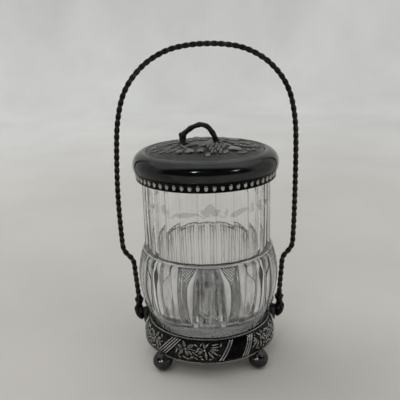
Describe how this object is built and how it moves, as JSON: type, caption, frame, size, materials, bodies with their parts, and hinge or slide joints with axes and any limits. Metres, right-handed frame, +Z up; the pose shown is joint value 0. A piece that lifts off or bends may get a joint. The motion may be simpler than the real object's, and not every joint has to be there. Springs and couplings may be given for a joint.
{
  "type": "biscuit jar",
  "caption": "Clear glass biscuit jar with a plated lid and twig handle, standing in a ring frame on ball feet, with a tall twisted wire bail that swings on two pivots.",
  "frame": {"origin": "centre of the box at the table, under the middle of the jar", "axes": "+Z up; +X to the right along the bail's pivots; -Y towards the front, where the handle of the lid is seen side on"},
  "size_m": [0.1601, 0.127, 0.2779],
  "materials": {
    "clear_glass": "polished",
    "plate_sheet": "satin",
    "plate_rim": "satin",
    "plate_ball": "satin",
    "plate_casting": "satin",
    "bail_wire": "satin",
    "plate_border": "gloss",
    "plate_crown": "satin",
    "plate_bead": "gloss",
    "plate_twig": "satin",
    "nut_brass": "satin"
  },
  "bodies": {
    "frame": {"base_band": "plate_sheet", "base_pan": "plate_sheet", "base_top_rim": "plate_rim", "base_foot_rim": "plate_rim", "foot_front_left": "plate_ball", "foot_front_right": "plate_ball", "foot_back_left": "plate_ball", "foot_back_right": "plate_ball", "ear_left": "plate_casting", "ear_right": "plate_casting", "pivot_pin_left": "plate_casting", "pivot_pin_right": "plate_casting"},
    "bail": {"bail_end_left": "plate_casting", "bail_end_right": "plate_casting", "bail_wire": "bail_wire"},
    "jar": {"glass_jar": "clear_glass"},
    "lid": {"lid_border": "plate_border", "lid_crown": "plate_crown", "lid_skirt": "plate_sheet", "bead_wire": "plate_bead", "twig_handle": "plate_twig", "handle_studs": "nut_brass", "handle_nuts": "nut_brass"}
  },
  "joints": [
    {"name": "bail_swing", "type": "hinge", "parent": "frame", "child": "bail", "pos_m": [0, 0, 0.038], "axis": [1, 0, 0], "range_deg": [-98, 98]},
    {"name": "jar_lift", "type": "slide", "parent": "frame", "child": "jar", "axis": [0, 0, 1], "range_m": [0, 0.025]},
    {"name": "lid_lift", "type": "slide", "parent": "jar", "child": "lid", "axis": [0, 0, 1], "range_m": [0, 0.03]}
  ]
}
